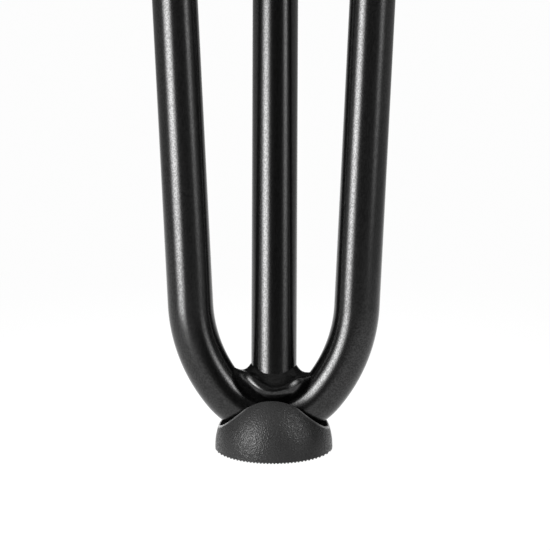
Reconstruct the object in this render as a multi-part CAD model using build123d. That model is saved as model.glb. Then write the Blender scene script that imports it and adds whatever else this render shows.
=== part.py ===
from build123d import *
import os
from math import cos, floor, radians, sin, sqrt, tan

# A three-rod hairpin table leg. Millimetres and degrees. The origin is the middle of the screw pattern on the
# top face of the mounting plate, +Z is up, X runs across the hairpin and the foot stands out towards -Y.

# Leg and rods
LEG_HEIGHT = 711.0  # floor to the top face of the plate
ROD_DIAMETER = 12.0
HAIRPIN_LEAN = 4.5  # plane of the hairpin, from upright
CENTRE_LEAN = 9.5  # centre rod, from upright
ARM_SPLAY = 2.7  # each arm, from the middle line of the hairpin
COPE_DEPTH = 2.0  # how far the end of the centre rod laps over the bend

# Bend of the hairpin, on the axis of the rod: a tight nose between two wider flanks
NOSE_RADIUS = 16.7
NOSE_TURN = 50.4  # to each side of the middle
FLANK_RADIUS = 40.0

# Weld bead round the foot of the centre rod, measured from the surface of the bend
BEAD_REACH = 3.2
BEAD_TOE_RISE = 5.9
BEAD_CREST_RISE = 2.0
BEAD_CREST_ROUND = 1.5
BEAD_LIP_TOP = 30.0  # ends of the rounded lip, from straight up
BEAD_LIP_UNDER = 135.0
BEAD_FOOT_RISE = 0.4
BEAD_FOOT_REACH = 0.8
BEAD_ROOT_DEPTH = 2.0
WEB_THICKNESS = 10.0
WEB_RISE = 6.0

# Mounting plate and its welds
PLATE_THICKNESS = 4.0
PLATE_WELD_LEG = 4.0
PLATE_LAND = 4.0  # plate left bare outside a weld
PLATE_CORNER_RADIUS = 10.0
PLATE_EDGE_ROUND = 0.6
SCREW_SPACING_X = 56.0
SCREW_SPACING_Y = 70.0
SCREW_HOLE_DIAMETER = 5.5
SCREW_LAND = 10.0  # plate left beside a screw hole at the narrow end

# Foot cap
CAP_WALL = 8.15  # mouth to the outside, at the floor
CAP_BAND = 0.5  # upright band at the floor, below the dome
SOLE_THICKNESS = 3.0
SEAT_CLEARANCE = 0.1  # rod to its seat
MOUTH_CLEARANCE = 1.4  # rod to the mouth of the saddle
MOUTH_DEPTH = 4.0  # mouth, in from the dome
RIM_GAP = 0.5  # top of the saddle walls to the weld bead
RIM_ROUND = 0.4
TREAD_PITCH = 0.9
TREAD_GROOVE_WIDTH = 0.45
TREAD_DEPTH = 0.25

ROD_RADIUS = ROD_DIAMETER / 2
FLANK_TURN = 90 - ARM_SPLAY - NOSE_TURN
QUARTER_HANDLE = 0.5523  # handle length that makes a cubic curve a quarter of an ellipse
SAW_ALLOWANCE = ROD_DIAMETER  # rods run this far past the plate before they are cut to it

# Places worked out from the sizes
floor_z = -LEG_HEIGHT
plate_under_z = -PLATE_THICKNESS
nose_z = floor_z + SOLE_THICKNESS + ROD_RADIUS
nose_rise = plate_under_z - nose_z
arm_setback = nose_rise * tan(radians(HAIRPIN_LEAN))
centre_setback = nose_rise * tan(radians(CENTRE_LEAN))
foot_y = -(arm_setback + centre_setback) / 2
arm_seat_y = foot_y + arm_setback
centre_seat_y = foot_y + centre_setback

flank_end_x = NOSE_RADIUS * sin(radians(NOSE_TURN))
flank_end_x += FLANK_RADIUS * (cos(radians(ARM_SPLAY)) - sin(radians(NOSE_TURN)))
flank_end_rise = NOSE_RADIUS * (1 - cos(radians(NOSE_TURN)))
flank_end_rise += FLANK_RADIUS * (cos(radians(NOSE_TURN)) - sin(radians(ARM_SPLAY)))
arm_rise = nose_rise / cos(radians(HAIRPIN_LEAN)) - flank_end_rise
arm_seat_x = flank_end_x + arm_rise * tan(radians(ARM_SPLAY))

nose_point = Vector(0, foot_y, nose_z)
hairpin_up = Vector(0, sin(radians(HAIRPIN_LEAN)), cos(radians(HAIRPIN_LEAN)))
centre_up = Vector(0, sin(radians(CENTRE_LEAN)), cos(radians(CENTRE_LEAN)))
hairpin_plane = Plane(origin=nose_point, x_dir=(1, 0, 0), z_dir=Vector(1, 0, 0).cross(hairpin_up))
bead_plane = Plane(origin=nose_point, x_dir=(1, 0, 0), z_dir=hairpin_up)
centre_plane = Plane(origin=nose_point, x_dir=(1, 0, 0), z_dir=centre_up)
plate_underside = Plane.XY.offset(plate_under_z)


def cut_to_plate(solid):
    return split(solid, bisect_by=plate_underside, keep=Keep.BOTTOM)


def bend_edges():
    # Down the left flank, round the nose and up the right flank, in the plane of the hairpin
    start_way = (sin(radians(ARM_SPLAY)), -cos(radians(ARM_SPLAY)))
    left_flank = JernArc((-flank_end_x, flank_end_rise), start_way, FLANK_RADIUS, FLANK_TURN)
    nose = JernArc(left_flank @ 1, left_flank % 1, NOSE_RADIUS, 2 * NOSE_TURN)
    right_flank = JernArc(nose @ 1, nose % 1, FLANK_RADIUS, FLANK_TURN)
    return [left_flank, nose, right_flank]


def sweep_along(edges, section):
    # The section's +Y side faces the inside of the bend
    path = hairpin_plane * Wire(edges)
    start = Plane(origin=path @ 0, x_dir=-hairpin_plane.z_dir, z_dir=path % 0)
    return sweep(start * section, path=path)


def make_hairpin_rod():
    bend = bend_edges()
    arm_length = arm_rise / cos(radians(ARM_SPLAY)) + SAW_ALLOWANCE
    left_foot = bend[0] @ 0
    right_foot = bend[-1] @ 1
    left_arm = Line(left_foot - (bend[0] % 0) * arm_length, left_foot)
    right_arm = Line(right_foot, right_foot + (bend[-1] % 1) * arm_length)
    return cut_to_plate(sweep_along([left_arm, *bend, right_arm], Circle(ROD_RADIUS)))


def make_centre_rod(hairpin_rod):
    cope_start = ROD_RADIUS - COPE_DEPTH
    length = nose_rise / cos(radians(CENTRE_LEAN)) + SAW_ALLOWANCE
    bar = Cylinder(ROD_RADIUS, length, align=(Align.CENTER, Align.CENTER, Align.MIN))
    return cut_to_plate(centre_plane * Pos(0, 0, cope_start) * bar) - hairpin_rod


def make_bend_weld(hairpin_rod, centre_rod):
    # Half section of the bead: radius from the middle of the bend, height above the axis of the nose
    toe_rise = ROD_RADIUS + BEAD_TOE_RISE
    toe_radius = ROD_RADIUS - toe_rise * tan(radians(CENTRE_LEAN - HAIRPIN_LEAN))
    crest_rise = ROD_RADIUS + BEAD_CREST_RISE
    crest_radius = ROD_RADIUS + BEAD_REACH
    lip_middle = Vector(crest_radius - BEAD_CREST_ROUND, crest_rise)
    lip_top = lip_middle + Vector(0, BEAD_CREST_ROUND).rotate(Axis.Z, -BEAD_LIP_TOP)
    lip_under = lip_middle + Vector(0, BEAD_CREST_ROUND).rotate(Axis.Z, -BEAD_LIP_UNDER)
    root_rise = ROD_RADIUS - BEAD_ROOT_DEPTH
    foot = (ROD_RADIUS + BEAD_FOOT_REACH, ROD_RADIUS + BEAD_FOOT_RISE)
    hollow = RadiusArc((toe_radius, toe_rise), lip_top, -BEAD_TOE_RISE)
    lip = ThreePointArc(lip_top, (crest_radius, crest_rise), lip_under)
    under = Polyline(lip_under, foot, (ROD_RADIUS, root_rise), (0, root_rise))
    core = Polyline((0, root_rise), (0, toe_rise), (toe_radius, toe_rise))
    section = make_face([hollow.edge(), lip.edge(), *under.edges(), *core.edges()])
    ring = bead_plane * revolve(Plane.XZ * section, Axis.Z)
    # A bar of weld metal lies across the bend and fills both crotches, as far out as the axis of the rod
    bend = bend_edges()
    inside = make_face([*[arc.edge() for arc in bend], Line(bend[-1] @ 1, bend[0] @ 0).edge()])
    web_bar = Cylinder(WEB_THICKNESS / 2, 2 * flank_end_x, rotation=(0, 90, 0))
    web_bar = bead_plane * Pos(0, 0, ROD_RADIUS + WEB_RISE - WEB_THICKNESS / 2) * web_bar
    web = web_bar & extrude(hairpin_plane * inside, WEB_THICKNESS, both=True)
    return ring + web - hairpin_rod - centre_rod


def make_mounting_plate():
    edge_land = ROD_RADIUS + PLATE_WELD_LEG + PLATE_LAND
    front_y = arm_seat_y - edge_land
    back_y = centre_seat_y + edge_land
    front_half = arm_seat_x + edge_land
    back_half = (SCREW_SPACING_X + SCREW_HOLE_DIAMETER) / 2 + SCREW_LAND
    corners = [(-front_half, front_y), (front_half, front_y), (back_half, back_y), (-back_half, back_y)]
    outline = make_face(Polyline(*corners, close=True))
    outline = fillet(outline.vertices(), PLATE_CORNER_RADIUS)
    plate = extrude(outline, -PLATE_THICKNESS)
    rims = plate.edges().filter_by(Axis.Z, reverse=True)
    plate = fillet(rims, PLATE_EDGE_ROUND)
    hole = Cylinder(SCREW_HOLE_DIAMETER / 2, PLATE_THICKNESS, align=(Align.CENTER, Align.CENTER, Align.MAX))
    return plate - [place * hole for place in GridLocations(SCREW_SPACING_X, SCREW_SPACING_Y, 2, 2)]


def make_plate_weld(seat_x, seat_y, rod_up, rod):
    # A cone about the rod, wider towards the plate, cut off level at the underside of the plate
    seat = Plane(origin=(seat_x, seat_y, plate_under_z), z_dir=rod_up)
    height = PLATE_WELD_LEG + SAW_ALLOWANCE
    cone = Cone(ROD_RADIUS, ROD_RADIUS + height, height, align=(Align.CENTER, Align.CENTER, Align.MIN))
    return cut_to_plate(seat * Pos(0, 0, -PLATE_WELD_LEG) * cone) - rod


def saddle_section(radius, opening):
    # Round under the rod, with straight walls from its axis up to the opening
    round_side = CenterArc((0, 0), radius, 180, 180)
    open_side = Polyline((radius, 0), (radius, opening), (-radius, opening), (-radius, 0))
    return make_face([round_side.edge(), *open_side.edges()])


def make_dome(radius, rise):
    # Half section: an upright band at the floor, then a quarter of an ellipse up to the axis
    top = CAP_BAND + rise
    first_handle = (radius, CAP_BAND + QUARTER_HANDLE * rise)
    last_handle = (QUARTER_HANDLE * radius, top)
    crown = Bezier((radius, CAP_BAND), first_handle, last_handle, (0, top))
    foot = Polyline((0, top), (0, 0), (radius, 0), (radius, CAP_BAND))
    half = make_face([*foot.edges(), crown.edge()])
    return Pos(0, foot_y, floor_z) * revolve(Plane.XZ * half, Axis.Z)


def make_foot_cap():
    seat_radius = ROD_RADIUS + SEAT_CLEARANCE
    mouth_radius = ROD_RADIUS + MOUTH_CLEARANCE
    cap_radius = mouth_radius + CAP_WALL
    # The dome is as tall as brings the top of each saddle wall just under the weld bead
    rim_height = SOLE_THICKNESS + ROD_DIAMETER + BEAD_FOOT_RISE - RIM_GAP
    dome_rise = (rim_height - CAP_BAND) / sqrt(1 - (mouth_radius / cap_radius) ** 2)
    dome = make_dome(cap_radius, dome_rise)
    core = make_dome(cap_radius - MOUTH_DEPTH, dome_rise - MOUTH_DEPTH)
    # The seat fits the rod, and the wider mouth is cut from the dome down to the core
    opening = CAP_BAND + dome_rise - SOLE_THICKNESS - ROD_RADIUS + RIM_GAP
    seat = sweep_along(bend_edges(), saddle_section(seat_radius, opening))
    mouth = sweep_along(bend_edges(), saddle_section(mouth_radius, opening))
    cap = dome - seat - (mouth - core)
    outer_face = cap.faces().filter_by(GeomType.REVOLUTION).sort_by(SortBy.AREA)[-1]
    cap = fillet(outer_face.edges().filter_by(GeomType.BSPLINE), RIM_ROUND)
    # Ribs of the sole run from front to back
    groove_count = floor(2 * cap_radius / TREAD_PITCH)
    groove_size = (TREAD_GROOVE_WIDTH, 2 * cap_radius, TREAD_DEPTH)
    groove = Box(*groove_size, align=(Align.CENTER, Align.CENTER, Align.MIN))
    sole = Pos(0, foot_y, floor_z)
    return cap - [sole * place * groove for place in GridLocations(TREAD_PITCH, 0, groove_count, 1)]


hairpin_rod = make_hairpin_rod()
centre_rod = make_centre_rod(hairpin_rod)
left_arm_up = hairpin_up * cos(radians(ARM_SPLAY)) - Vector(sin(radians(ARM_SPLAY)), 0, 0)
right_arm_up = hairpin_up * cos(radians(ARM_SPLAY)) + Vector(sin(radians(ARM_SPLAY)), 0, 0)

nodes = {
    "hairpin_rod": hairpin_rod,
    "centre_rod": centre_rod,
    "bend_weld": make_bend_weld(hairpin_rod, centre_rod),
    "mounting_plate": make_mounting_plate(),
    "plate_weld_left": make_plate_weld(-arm_seat_x, arm_seat_y, left_arm_up, hairpin_rod),
    "plate_weld_right": make_plate_weld(arm_seat_x, arm_seat_y, right_arm_up, hairpin_rod),
    "plate_weld_centre": make_plate_weld(0, centre_seat_y, centre_up, centre_rod),
    "foot_cap": make_foot_cap(),
}

os.makedirs("parts", exist_ok=True)
for name, shape in nodes.items():
    export_step(shape, f"parts/{name}.step")
    print(f"{name}: {shape.volume:.0f} cubic mm")
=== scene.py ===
# %% [markdown]
# A hairpin table leg, dressed for its picture. The leg is a bar bent to a pointed U, a straight centre rod
# welded into the bend, a plate for the table top and a moulded foot cap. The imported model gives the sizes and
# stays where it is. This file gives the plate, its welds and the cap their finish, and it puts finer rods and
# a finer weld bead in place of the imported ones. Lengths are in metres, unless a name or a text says
# otherwise.

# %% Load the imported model
import math
import bpy
from mathutils import Matrix, Vector


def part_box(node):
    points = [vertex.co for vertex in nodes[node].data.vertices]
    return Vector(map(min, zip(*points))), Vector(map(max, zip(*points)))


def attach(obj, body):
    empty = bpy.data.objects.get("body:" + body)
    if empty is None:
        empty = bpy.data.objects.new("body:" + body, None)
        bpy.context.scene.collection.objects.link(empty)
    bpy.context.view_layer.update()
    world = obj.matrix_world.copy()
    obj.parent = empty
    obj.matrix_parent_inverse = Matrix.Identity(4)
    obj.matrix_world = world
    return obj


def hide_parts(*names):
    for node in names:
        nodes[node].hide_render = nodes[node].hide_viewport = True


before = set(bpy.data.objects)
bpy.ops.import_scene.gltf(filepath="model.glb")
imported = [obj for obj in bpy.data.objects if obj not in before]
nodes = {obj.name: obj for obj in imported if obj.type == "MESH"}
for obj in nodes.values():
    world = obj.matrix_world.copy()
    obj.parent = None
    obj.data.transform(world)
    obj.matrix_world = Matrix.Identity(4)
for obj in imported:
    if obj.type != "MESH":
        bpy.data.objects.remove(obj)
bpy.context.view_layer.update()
print("nodes:", ", ".join(sorted(nodes)))

# %% [markdown]
# The picture is taken from a little above with a long lens, and it shows only the lower end of the leg. A
# camera can be aimed with a Track To constraint, but then it cannot be rolled by a small angle. So its three
# axes are worked out here and written into its matrix.

# %% Camera
CAMERA_DISTANCE = 1.2
CAMERA_AZIMUTH = math.radians(2.89)
CAMERA_ELEVATION = math.radians(14.63)
CAMERA_ROLL = math.radians(-0.247)
LENS_MM = 298.7
SENSOR_MM = 36
AIM_ASIDE = 0.0005
AIM_HEIGHT = 0.04722
cap_low, cap_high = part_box("foot_cap")
foot = Vector((0, (cap_low.y + cap_high.y) / 2, cap_low.z))
aim = foot + Vector((AIM_ASIDE, 0, AIM_HEIGHT))

backward = Vector((math.sin(CAMERA_AZIMUTH) * math.cos(CAMERA_ELEVATION),
                   -math.cos(CAMERA_AZIMUTH) * math.cos(CAMERA_ELEVATION),
                   math.sin(CAMERA_ELEVATION)))
sideways = Vector((0, 0, 1)).cross(backward).normalized()
axes = Matrix((sideways, backward.cross(sideways), backward)).transposed()
camera_data = bpy.data.cameras.new("camera")
camera_data.lens = LENS_MM
camera_data.sensor_width = SENSOR_MM
camera = bpy.data.objects.new("camera", camera_data)
bpy.context.scene.collection.objects.link(camera)
turn = axes @ Matrix.Rotation(CAMERA_ROLL, 3, "Z")
camera.matrix_world = Matrix.Translation(aim + CAMERA_DISTANCE * backward) @ turn.to_4x4()
bpy.context.scene.camera = camera
bpy.context.scene.view_settings.view_transform = "Standard"
print("camera at", [round(value, 3) for value in camera.location])

# %% [markdown]
# Node trees are written the same way each time: make a node, set its sockets, link its outputs. The first
# helper does that in one call, so that a finish reads as a list of its nodes. A socket goes by its label,
# with underscores for spaces, or by its number, as in _0. The other helpers shorten the nodes used most: Map
# Range, which turns one run of values into another, and the Math nodes for numbers and for vectors.

# %% Helpers for node trees
def add_node(tree, kind, settings=None, **sockets):
    node = tree.nodes.new(kind)
    for name, value in (settings or {}).items():
        setattr(node, name, value)
    for name, value in sockets.items():
        label = int(name[1:]) if name[1:].isdigit() else name.replace("_", " ")
        socket = node.inputs[label]
        if isinstance(value, bpy.types.NodeSocket):
            tree.links.new(value, socket)
        else:
            socket.default_value = value
    return node


def ramp(tree, value, start, stop, low, high, smooth=False):
    settings = {"interpolation_type": "SMOOTHSTEP" if smooth else "LINEAR"}
    node = add_node(tree, "ShaderNodeMapRange", settings, Value=value, From_Min=start, From_Max=stop,
                    To_Min=low, To_Max=high)
    return node.outputs[0]


def number_math(tree, operation, first, second=0.0, clamp=False):
    settings = {"operation": operation, "use_clamp": clamp}
    return add_node(tree, "ShaderNodeMath", settings, _0=first, _1=second).outputs[0]


def vector_math(tree, operation, first, second=(0, 0, 0), output="Vector"):
    settings = {"operation": operation}
    return add_node(tree, "ShaderNodeVectorMath", settings, _0=first, _1=second).outputs[output]


def new_material(name):
    material = bpy.data.materials.new(name)
    material.use_nodes = True
    material.node_tree.nodes.clear()
    return material, material.node_tree


print("node helpers ready")

# %% [markdown]
# The leg stands on a plain pale floor. A painted pool of light lies round the foot and behind it, and goes over
# to grey with distance. Towards the camera the grey is darker, as painted shade. A spot lamp could make the
# pool, but it would light the leg as well. So the floor glows by itself, for the rays that look at it from the
# camera, by way of a reflection or through something clear. The black rods then mirror the floor that the
# camera sees.

# %% Floor glow
WHITE = (1, 1, 1, 1)
POOL_MIDDLE = foot + Vector((-0.03, 0.35, 0))
POOL_HALF = Vector((0.115, 0.447, 1))
POOL_FADE = 0.3
POOL_GLOW = 0.98
FAR_GLOW = 0.45
SHADE_GLOW = 0.22
SHADE_EDGE = math.cos(math.radians(60))
TO_FRONT = (0, -1, 0)


def floor_glow(tree, position):
    aside = vector_math(tree, "ABSOLUTE", vector_math(tree, "SUBTRACT", position, POOL_MIDDLE))
    beyond = vector_math(tree, "MAXIMUM", vector_math(tree, "SUBTRACT", aside, POOL_HALF))
    beyond = vector_math(tree, "LENGTH", beyond, output="Value")
    # painted pool of light round the foot and behind it
    pool = ramp(tree, beyond, 0.0, POOL_FADE, POOL_GLOW, 0.0, smooth=True)
    away = vector_math(tree, "NORMALIZE", vector_math(tree, "SUBTRACT", position, foot))
    towards = vector_math(tree, "DOT_PRODUCT", away, TO_FRONT, output="Value")
    # painted shade: the floor's glow is darker towards the camera
    far = ramp(tree, towards, SHADE_EDGE, 1.0, FAR_GLOW, SHADE_GLOW, smooth=True)
    path = add_node(tree, "ShaderNodeLightPath")
    looked_at = number_math(tree, "ADD", path.outputs["Is Camera Ray"], path.outputs["Is Glossy Ray"])
    looked_at = number_math(tree, "ADD", looked_at, path.outputs["Is Transmission Ray"], clamp=True)
    strength = number_math(tree, "MULTIPLY", number_math(tree, "MAXIMUM", pool, far), looked_at)
    return add_node(tree, "ShaderNodeEmission", None, Color=WHITE, Strength=strength)


print("pool of light", [round(2 * side, 2) for side in POOL_HALF[:2]], "m")

# %% [markdown]
# Glow alone takes no shadow. A matt grey round the foot takes it, though on a floor as white as this hardly
# any of it shows. The grey fades out before it reaches the strips of light of the next step, because they
# would draw their edges on it. The floor itself is one large square at the level of the foot's sole.

# %% Floor
FLOOR_HALF = 20.0
MATT_GREY = 0.1
MATT_FROM = 0.04
MATT_TO = 0.2

floor_material, tree = new_material("pale_floor")
position = add_node(tree, "ShaderNodeNewGeometry").outputs["Position"]
from_foot = vector_math(tree, "LENGTH", vector_math(tree, "SUBTRACT", position, foot), output="Value")
grey = ramp(tree, from_foot, MATT_FROM, MATT_TO, MATT_GREY, 0.0, smooth=True)
matt = add_node(tree, "ShaderNodeBsdfDiffuse", None, Color=grey)
glow = floor_glow(tree, position)
both = add_node(tree, "ShaderNodeAddShader", None, _0=glow.outputs[0], _1=matt.outputs[0])
add_node(tree, "ShaderNodeOutputMaterial", None, Surface=both.outputs[0])

floor_mesh = bpy.data.meshes.new("floor")
corners = [(x * FLOOR_HALF, y * FLOOR_HALF, foot.z) for x, y in ((-1, -1), (1, -1), (1, 1), (-1, 1))]
floor_mesh.from_pydata(corners, [], [(0, 1, 2, 3)])
floor_mesh.materials.append(floor_material)
floor = bpy.data.objects.new("floor", floor_mesh)
bpy.context.scene.collection.objects.link(floor)
print("floor at", round(foot.z, 4))

# %% [markdown]
# Black gloss shows itself by what it mirrors. Two upright strips of soft light stand in front of the leg, to
# its left and right, and they draw the bright lines down the rods. The left one stands nearer, so that its
# line reaches further down into the bend. A plain area lamp has hard sides, and so would its line. So the
# lamp's own nodes fade it towards both sides, and set its level at a few heights, given as pairs of height
# and share of the full light. The camera does not see the lamps.

# %% Strips of light
STRIP_HEIGHT = 0.75
LEFT_DISTANCE = 0.22
LEFT_LEVELS = ((0, 0.8), (0.03, 0.8), (0.055, 1), (0.1, 1), (0.15, 0.6), (0.25, 0.12))
RIGHT_DISTANCE = 0.42
RIGHT_LEVELS = ((0, 0.11), (0.12, 0.4), (0.25, 1), (0.4, 1))


def fade_strip(tree, levels):
    tree.nodes.clear()
    place = add_node(tree, "ShaderNodeNewGeometry").outputs["Parametric"]
    place = add_node(tree, "ShaderNodeSeparateXYZ", None, Vector=place)
    across = number_math(tree, "SINE", number_math(tree, "MULTIPLY", place.outputs["X"], math.pi))
    across = number_math(tree, "POWER", across, 2.0)
    rising = add_node(tree, "ShaderNodeValToRGB", None, Fac=place.outputs["Y"])
    stops = rising.color_ramp.elements
    while len(stops) < len(levels):
        stops.new(1.0)
    for stop, (height, share) in zip(stops, levels):
        stop.position = height / STRIP_HEIGHT
        stop.color = (share, share, share, 1)
    strength = number_math(tree, "MULTIPLY", across, rising.outputs[0])
    glow = add_node(tree, "ShaderNodeEmission", None, Color=WHITE, Strength=strength)
    add_node(tree, "ShaderNodeOutputLight", None, Surface=glow.outputs[0])


def soft_strip(name, azimuth, distance, width, radiance, levels):
    lamp = bpy.data.lights.new(name, "AREA")
    lamp.shape = "RECTANGLE"
    lamp.size = width
    lamp.size_y = STRIP_HEIGHT
    lamp.energy = radiance * math.pi * width * STRIP_HEIGHT
    lamp.use_nodes = True
    fade_strip(lamp.node_tree, levels)
    strip = bpy.data.objects.new(name, lamp)
    angle = math.radians(azimuth)
    outward = Vector((math.sin(angle), -math.cos(angle), 0))
    strip.location = foot + distance * outward + Vector((0, 0, STRIP_HEIGHT / 2))
    strip.rotation_euler = (-outward).to_track_quat("-Z", "Y").to_euler()
    strip.visible_camera = False
    bpy.context.scene.collection.objects.link(strip)


soft_strip("left_strip", azimuth=-46, distance=LEFT_DISTANCE, width=0.194, radiance=20, levels=LEFT_LEVELS)
soft_strip("right_strip", azimuth=60, distance=RIGHT_DISTANCE, width=0.25, radiance=10, levels=RIGHT_LEVELS)
print("strips of light", LEFT_DISTANCE, "m and", RIGHT_DISTANCE, "m from the foot")

# %% [markdown]
# The air round the leg is dim, so that the black stays black. Higher up it grows paler, as a ceiling does, so
# that the top of the plate has something to mirror. The background of the world can do both, with no lamp.

# %% Studio air
AIR_GLOW = 0.03
CEILING_GLOW = 0.25
CEILING_EDGE = math.sin(math.radians(30))

world = bpy.data.worlds.new("studio_air")
world.use_nodes = True
tree = world.node_tree
way = add_node(tree, "ShaderNodeTexCoord").outputs["Generated"]
way = add_node(tree, "ShaderNodeSeparateXYZ", None, Vector=way)
ceiling = ramp(tree, way.outputs["Z"], CEILING_EDGE, 1.0, AIR_GLOW, CEILING_GLOW, smooth=True)
tree.links.new(ceiling, tree.nodes["Background"].inputs["Color"])
bpy.context.scene.world = world
print("air at", AIR_GLOW, "and ceiling at", CEILING_GLOW)

# %% [markdown]
# Powder coat is a resin skin baked onto the steel: black, satin and finely speckled. Bump alone could make
# the speckle, but bumps large enough to show would roughen the outline of every highlight. So one fine noise
# drives four things at once: a very shallow bump, the roughness, the shade, and how strongly the skin
# reflects. The highlights sparkle by it, and the dark parts stay calm.

# %% Powder coat
PEEL_SCALE = 2600.0
PEEL_DEPTH = 8e-6
PEEL_MIDDLE = (0.4, 0.6)
PEEL_WIDE = (0.35, 0.65)
COAT_SHADES = (0.0005, 0.0025)
COAT_ROUGHNESS = (0.23, 0.2)
COAT_REFLECTION = (0.385, 0.615)
COAT_IOR = 1.5


def fine_noise(tree, scale):
    where = add_node(tree, "ShaderNodeTexCoord").outputs["Object"]
    return add_node(tree, "ShaderNodeTexNoise", None, Vector=where, Scale=scale, Detail=0.0).outputs["Fac"]


def powder_coat():
    material, tree = new_material("powder_coat")
    peel = fine_noise(tree, PEEL_SCALE)
    bump = add_node(tree, "ShaderNodeBump", None, Strength=1.0, Distance=PEEL_DEPTH, Height=peel)
    shade = ramp(tree, peel, *PEEL_MIDDLE, *COAT_SHADES)
    roughness = ramp(tree, peel, *PEEL_MIDDLE, *COAT_ROUGHNESS)
    reflection = ramp(tree, peel, *PEEL_WIDE, *COAT_REFLECTION)
    skin = add_node(tree, "ShaderNodeBsdfPrincipled", None, Base_Color=shade, IOR=COAT_IOR,
                    Roughness=roughness, Specular_IOR_Level=reflection, Normal=bump.outputs[0])
    add_node(tree, "ShaderNodeOutputMaterial", None, Surface=skin.outputs[0])
    return material


coat = powder_coat()
coated = ["mounting_plate", "plate_weld_left", "plate_weld_right", "plate_weld_centre"]
for name in coated:
    nodes[name].data.materials.clear()
    nodes[name].data.materials.append(coat)
print("powder coat on", ", ".join(coated))

# %% [markdown]
# The rods are round bar. A curve with a round bevel is the plainest way to make bar in Blender: the curve is
# the axis and the bevel is the radius. Each knot of the curve is given with both of its handles, so that the
# bends come out as they are worked out below.

# %% Round bar
ROD_RADIUS = 0.006
SOLE_THICKNESS = 0.003
INTO_PLATE = 0.0006
STEPS_ROUND = 30
STEPS_ALONG = 40
nose = foot + Vector((0, 0, SOLE_THICKNESS + ROD_RADIUS))
plate_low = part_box("mounting_plate")[0]
nose_to_plate = plate_low.z - nose.z


def make_bar(name, knots, node):
    data = bpy.data.curves.new(name, "CURVE")
    data.dimensions = "3D"
    data.bevel_depth = ROD_RADIUS
    data.bevel_resolution = STEPS_ROUND
    data.resolution_u = STEPS_ALONG
    data.use_fill_caps = True
    spline = data.splines.new("BEZIER")
    spline.bezier_points.add(len(knots) - 1)
    for knot, (before, middle, after) in zip(spline.bezier_points, knots):
        knot.handle_left_type = "FREE"
        knot.handle_right_type = "FREE"
        knot.handle_left = before
        knot.co = middle
        knot.handle_right = after
    data.materials.append(coat)
    bar = bpy.data.objects.new(name, data)
    bpy.context.scene.collection.objects.link(bar)
    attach(bar, "root")
    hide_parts(node)


print("from the bend's axis to the plate:", round(1000 * nose_to_plate, 1), "mm")

# %% [markdown]
# The hairpin is one bar, bent to a tight nose with a wider flank on each side, and its two straight arms
# splay a little. Between two knots the curve follows an arc closely when the handles are 4/3 tan(turn / 4)
# times the radius, so the three arcs need only their end points. Each arm has one more knot just above the
# bend: without it, the shading of the bend's last ring would spread up the long straight face.

# %% Hairpin
HAIRPIN_LEAN = math.radians(4.5)
ARM_SPLAY = math.radians(2.7)
NOSE_RADIUS = 0.0167
NOSE_TURN = math.radians(50.4)
FLANK_RADIUS = 0.040
RUN_IN = 0.03


def on_hairpin(x, rise):
    return nose + Vector((x, rise * math.sin(HAIRPIN_LEAN), rise * math.cos(HAIRPIN_LEAN)))


def arc_handle(radius, turn):
    return radius * 4 / 3 * math.tan(turn / 4)


def hairpin_knots():
    flank_turn = math.pi / 2 - ARM_SPLAY - NOSE_TURN
    nose_end = Vector((NOSE_RADIUS * math.sin(NOSE_TURN), NOSE_RADIUS * (1 - math.cos(NOSE_TURN))))
    flank_end = nose_end + FLANK_RADIUS * Vector((math.cos(ARM_SPLAY) - math.sin(NOSE_TURN),
                                                  math.cos(NOSE_TURN) - math.sin(ARM_SPLAY)))
    top_rise = nose_to_plate / math.cos(HAIRPIN_LEAN) + INTO_PLATE
    arm_length = (top_rise - flank_end.y) / math.cos(ARM_SPLAY)
    nose_way = Vector((math.cos(NOSE_TURN), math.sin(NOSE_TURN)))
    arm_way = Vector((math.sin(ARM_SPLAY), math.cos(ARM_SPLAY)))
    nose_handle = arc_handle(NOSE_RADIUS, 2 * NOSE_TURN)
    flank_handle = arc_handle(FLANK_RADIUS, flank_turn)
    run_in_handle = RUN_IN / 3
    arm_handle = (arm_length - RUN_IN) / 3
    run_in = flank_end + RUN_IN * arm_way
    top = flank_end + arm_length * arm_way
    right = [(nose_end - nose_handle * nose_way, nose_end, nose_end + flank_handle * nose_way),
             (flank_end - flank_handle * arm_way, flank_end, flank_end + run_in_handle * arm_way),
             (run_in - run_in_handle * arm_way, run_in, run_in + arm_handle * arm_way),
             (top - arm_handle * arm_way, top, top + arm_handle * arm_way)]
    left = [[Vector((-p.x, p.y)) for p in reversed(knot)] for knot in reversed(right)]
    return [[on_hairpin(*p) for p in knot] for knot in left + right]


make_bar("hairpin_bar", hairpin_knots(), "hairpin_rod")
print("hairpin bent to", round(1000 * NOSE_RADIUS, 1), "and", round(1000 * FLANK_RADIUS, 1), "mm")

# %% [markdown]
# The centre rod is straight and leans further back than the hairpin, so that the three rods meet the plate in
# a triangle. A curve with two knots is enough. It starts down in the bend, where the bar, the weld bead and
# the cap hide its end, and it stops inside the plate.

# %% Centre rod
CENTRE_LEAN = math.radians(9.5)
START_RISE = ROD_RADIUS / 2

centre_way = Vector((0, math.sin(CENTRE_LEAN), math.cos(CENTRE_LEAN)))
start = nose + START_RISE * centre_way
end = nose + (nose_to_plate / math.cos(CENTRE_LEAN) + INTO_PLATE) * centre_way
third = (end - start) / 3
make_bar("centre_bar", [(start - third, start, start + third), (end - third, end, end + third)], "centre_rod")
print("centre rod", round(1000 * (end - start).length, 1), "mm long")
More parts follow.
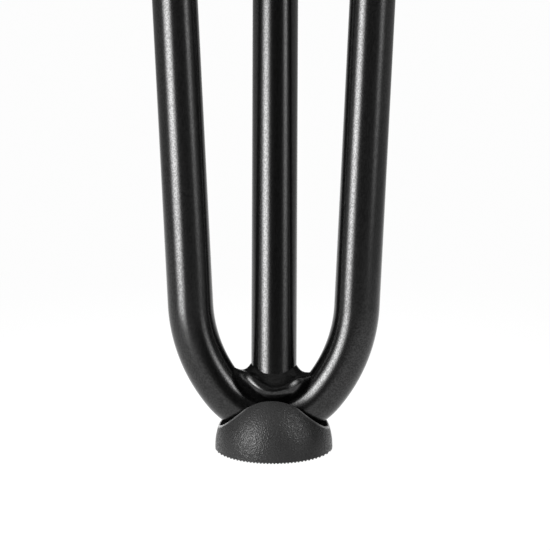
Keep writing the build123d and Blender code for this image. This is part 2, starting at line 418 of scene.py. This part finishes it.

# %% [markdown]
# The weld bead is a fat ring of melted steel round the foot of the centre rod. It dips in front and behind,
# and climbs the flanks of the bend on both sides, a little higher on the left. Its section changes all the
# way round, so it is given as a few sections. Each goes from the centre rod down to the bend, in
# pairs of distance from the middle and height above the bend's axis, in millimetres. The first and last
# points lie inside the rods, so that the bead meets them in a crisp line.

# %% Sections of the weld bead
FRONT = [(5.0, 13.0), (6.1, 11.9), (7.0, 10.5), (7.7, 9.2), (8.5, 9.0),
         (9.05, 7.9), (8.55, 6.6), (7.1, 5.2), (5.0, 3.5)]
LEFT_NEAR = [(5.0, 13.1), (6.1, 12.0), (7.0, 10.8), (7.5, 10.3), (8.2, 10.4),
             (9.3, 8.9), (8.8, 7.3), (7.5, 5.6), (5.0, 3.5)]
RIGHT_NEAR = [(5.0, 13.1), (6.1, 12.0), (7.0, 10.6), (7.9, 9.6), (8.8, 9.5),
              (9.3, 8.4), (8.7, 6.9), (7.5, 5.4), (5.0, 3.5)]
LEFT_SHOULDER = [(5.0, 13.9), (6.1, 12.8), (6.9, 12.0), (7.5, 12.0), (8.5, 12.5),
                 (9.7, 11.0), (9.2, 9.2), (7.9, 7.4), (6.0, 4.2)]
LEFT_FLANK = [(5.0, 14.4), (6.1, 13.4), (6.9, 12.4), (8.0, 12.1), (9.5, 12.8),
              (10.3, 11.8), (10.1, 9.8), (9.3, 7.4), (7.0, 4.5)]
LEFT_SIDE = [(5.0, 14.7), (6.1, 13.8), (7.0, 12.5), (8.3, 12.0), (9.8, 12.4),
             (11.8, 13.7), (13.0, 10.6), (11.0, 7.0), (8.0, 4.5)]
RIGHT_SHOULDER = [(5.0, 13.7), (6.1, 12.6), (7.0, 11.8), (7.7, 11.3), (8.6, 11.2),
                  (9.5, 9.7), (9.2, 8.0), (8.2, 6.4), (6.0, 4.2)]
RIGHT_FLANK = [(5.0, 14.2), (6.1, 13.2), (6.9, 12.2), (7.9, 11.6), (9.2, 11.6),
               (10.0, 10.6), (9.9, 9.0), (9.2, 7.2), (7.0, 4.5)]
RIGHT_SIDE = [(5.0, 14.2), (6.1, 13.3), (7.0, 12.0), (8.3, 11.5), (9.8, 11.6),
              (11.8, 12.1), (13.0, 9.6), (11.0, 7.0), (8.0, 4.5)]
BACK_FLANK = [(5.0, 14.0), (6.1, 12.9), (6.8, 11.5), (7.6, 10.6), (8.9, 10.5),
              (10.0, 10.2), (10.4, 9.0), (10.0, 6.8), (7.0, 4.5)]
ROUND_THE_ROD = [RIGHT_SIDE, BACK_FLANK, RIGHT_NEAR, RIGHT_NEAR,
                 FRONT, LEFT_NEAR, LEFT_NEAR, BACK_FLANK,
                 LEFT_SIDE, LEFT_FLANK, LEFT_SHOULDER, LEFT_NEAR,
                 FRONT, RIGHT_NEAR, RIGHT_SHOULDER, RIGHT_FLANK]
print(len(ROUND_THE_ROD), "sections, from the right by way of the back")

# %% [markdown]
# Between two sections the bead follows a smooth curve, which passes through both and takes its direction
# there from their neighbours. Straight steps from one to the next would leave a kink at each. The points that
# lie against the centre rod lean with it, and the others stay with the hairpin.

# %% A point of the weld bead
FOLLOW_ROD = [1, 1, 0.6, 0.2, 0, 0, 0, 0, 0]
MILLIMETRE = 0.001
FRONT_TURN = 1.5 * math.pi
LIP_STEP = 4
back_way = Vector((0, math.cos(HAIRPIN_LEAN), -math.sin(HAIRPIN_LEAN)))
hairpin_way = Vector((0, math.sin(HAIRPIN_LEAN), math.cos(HAIRPIN_LEAN)))
lean_between = math.tan(CENTRE_LEAN - HAIRPIN_LEAN)


def bead_point(turn, step):
    count = len(ROUND_THE_ROD)
    place = count * turn / (2 * math.pi)
    first = int(place)
    share = place - first
    sections = [ROUND_THE_ROD[(first + shift) % count] for shift in (-1, 0, 1, 2)]
    before, here, there, after = [Vector(section[step]) for section in sections]
    bend = share * (there - before + share * (2 * before - 5 * here + 4 * there - after
                    + share * (3 * here - 3 * there + after - before)))
    radius, height = MILLIMETRE * (here + bend / 2)
    out = radius * (math.cos(turn) * Vector((1, 0, 0)) + math.sin(turn) * back_way)
    return nose + out + height * hairpin_way + FOLLOW_ROD[step] * height * lean_between * back_way


print("front lip of the bead at", [round(value, 4) for value in bead_point(FRONT_TURN, LIP_STEP)])

# %% [markdown]
# The sections become a cage of points, joined by four-sided faces, and a subdivision surface rounds it off. A
# swept curve could not change its section like this, and a sculpted mesh would hide its sizes.

# %% Weld bead
BEAD_RINGS = 32
BEAD_ROUNDING = 3


def make_bead():
    count = len(FRONT)
    turns = [2 * math.pi * index / BEAD_RINGS for index in range(BEAD_RINGS)]
    points = [bead_point(turn, step) for turn in turns for step in range(count)]
    faces = []
    for index in range(BEAD_RINGS):
        here = index * count
        there = (index + 1) % BEAD_RINGS * count
        faces += [(here + step, there + step, there + step + 1, here + step + 1) for step in range(count - 1)]
    mesh = bpy.data.meshes.new("weld_bead")
    mesh.from_pydata(points, [], faces)
    mesh.materials.append(coat)
    mesh.shade_smooth()
    bead = bpy.data.objects.new("weld_bead", mesh)
    bpy.context.scene.collection.objects.link(bead)
    rounding = bead.modifiers.new("rounding", "SUBSURF")
    rounding.levels = BEAD_ROUNDING
    rounding.render_levels = BEAD_ROUNDING
    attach(bead, "root")
    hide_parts("bend_weld")
    return bead


bead = make_bead()
print("weld bead of", len(bead.data.polygons), "faces before rounding")

# %% [markdown]
# The foot cap is moulded plastic, and the imported cap has its shape. It has the fine grain of a spark-eroded
# mould, which breaks up the light. Only the rim round the opening is smooth, and its paler shade is a painted
# highlight, brightest at its two low ends. Pointiness could find the rim, but it is only as fine as the mesh.
# The opening follows the bar, so the rim is where the distance from the axis of the bend's nose is just over
# the opening's radius.

# %% Rim of the cap
MOUTH_RADIUS = 0.0074
RIM_INSIDE = (MOUTH_RADIUS + 0.00002, MOUTH_RADIUS + 0.0001)
RIM_OUTSIDE = (MOUTH_RADIUS + 0.0003, MOUTH_RADIUS + 0.0010)
LOW_END = (foot.z + 0.0065, foot.z + 0.0090)
# share of the rim's painted highlight and of its smoothness on the slopes, against the low ends
SLOPE_SHARE = 0.25


# mask of the rim, for its painted highlight and its smoothness
def rim_highlight_and_polish(tree):
    position = add_node(tree, "ShaderNodeNewGeometry").outputs["Position"]
    from_middle = vector_math(tree, "SUBTRACT", position, nose + NOSE_RADIUS * hairpin_way)
    aside = vector_math(tree, "DOT_PRODUCT", from_middle, back_way, output="Value")
    off_plane = add_node(tree, "ShaderNodeVectorMath", {"operation": "SCALE"}, _0=back_way, Scale=aside)
    in_plane = vector_math(tree, "SUBTRACT", from_middle, off_plane.outputs[0])
    from_centre = vector_math(tree, "LENGTH", in_plane, output="Value")
    from_arc = number_math(tree, "SUBTRACT", from_centre, NOSE_RADIUS)
    both = add_node(tree, "ShaderNodeCombineXYZ", None, X=from_arc, Y=aside)
    from_axis = vector_math(tree, "LENGTH", both.outputs[0], output="Value")
    level = add_node(tree, "ShaderNodeSeparateXYZ", None, Vector=position).outputs["Z"]
    highlight_and_polish = number_math(tree, "MULTIPLY", ramp(tree, from_axis, *RIM_INSIDE, 0.0, 1.0),
                       ramp(tree, from_axis, *RIM_OUTSIDE, 1.0, 0.0))
    return number_math(tree, "MULTIPLY", highlight_and_polish, ramp(tree, level, *LOW_END, 1.0, SLOPE_SHARE))


print("opening of", round(2000 * MOUTH_RADIUS, 1), "mm in the cap")

# %% [markdown]
# One noise is the grain, and it drives the bump, the roughness and the shade together. On the rim the grain
# fades out: the bump goes to nothing there, the roughness goes over to that of smooth plastic, and the shade
# goes over to a pale painted highlight. A second material for the rim would end in a hard line.

# %% Cap plastic
GRAIN_SCALE = 2600.0
GRAIN_DEPTH = 1.2e-4
GRAIN_MIDDLE = (0.4, 0.6)
CAP_SHADES = (0.018, 0.022)
CAP_ROUGHNESS = (0.5, 0.22)
CAP_REFLECTION = 0.22
# painted highlight: the pale grey shade of the rim
PAINTED_RIM_HIGHLIGHT = 0.5
WORN_ROUGHNESS = 0.2


def cap_plastic():
    material, tree = new_material("cap_plastic")
    grain = fine_noise(tree, GRAIN_SCALE)
    highlight_and_polish = rim_highlight_and_polish(tree)
    # painted highlight: on the rim the shade goes over to a pale grey
    shade = ramp(tree, highlight_and_polish, 0.0, 1.0, ramp(tree, grain, *GRAIN_MIDDLE, *CAP_SHADES), PAINTED_RIM_HIGHLIGHT)
    roughness = ramp(tree, grain, *GRAIN_MIDDLE, *CAP_ROUGHNESS)
    roughness = ramp(tree, highlight_and_polish, 0.0, 1.0, roughness, WORN_ROUGHNESS)
    relief = ramp(tree, highlight_and_polish, 0.0, 1.0, 1.0, 0.0)
    bump = add_node(tree, "ShaderNodeBump", None, Strength=relief, Distance=GRAIN_DEPTH, Height=grain)
    skin = add_node(tree, "ShaderNodeBsdfPrincipled", None, Base_Color=shade, Roughness=roughness,
                    Specular_IOR_Level=CAP_REFLECTION, Normal=bump.outputs[0])
    add_node(tree, "ShaderNodeOutputMaterial", None, Surface=skin.outputs[0])
    return material


nodes["foot_cap"].data.materials.clear()
nodes["foot_cap"].data.materials.append(cap_plastic())
print("cap plastic on the foot cap")
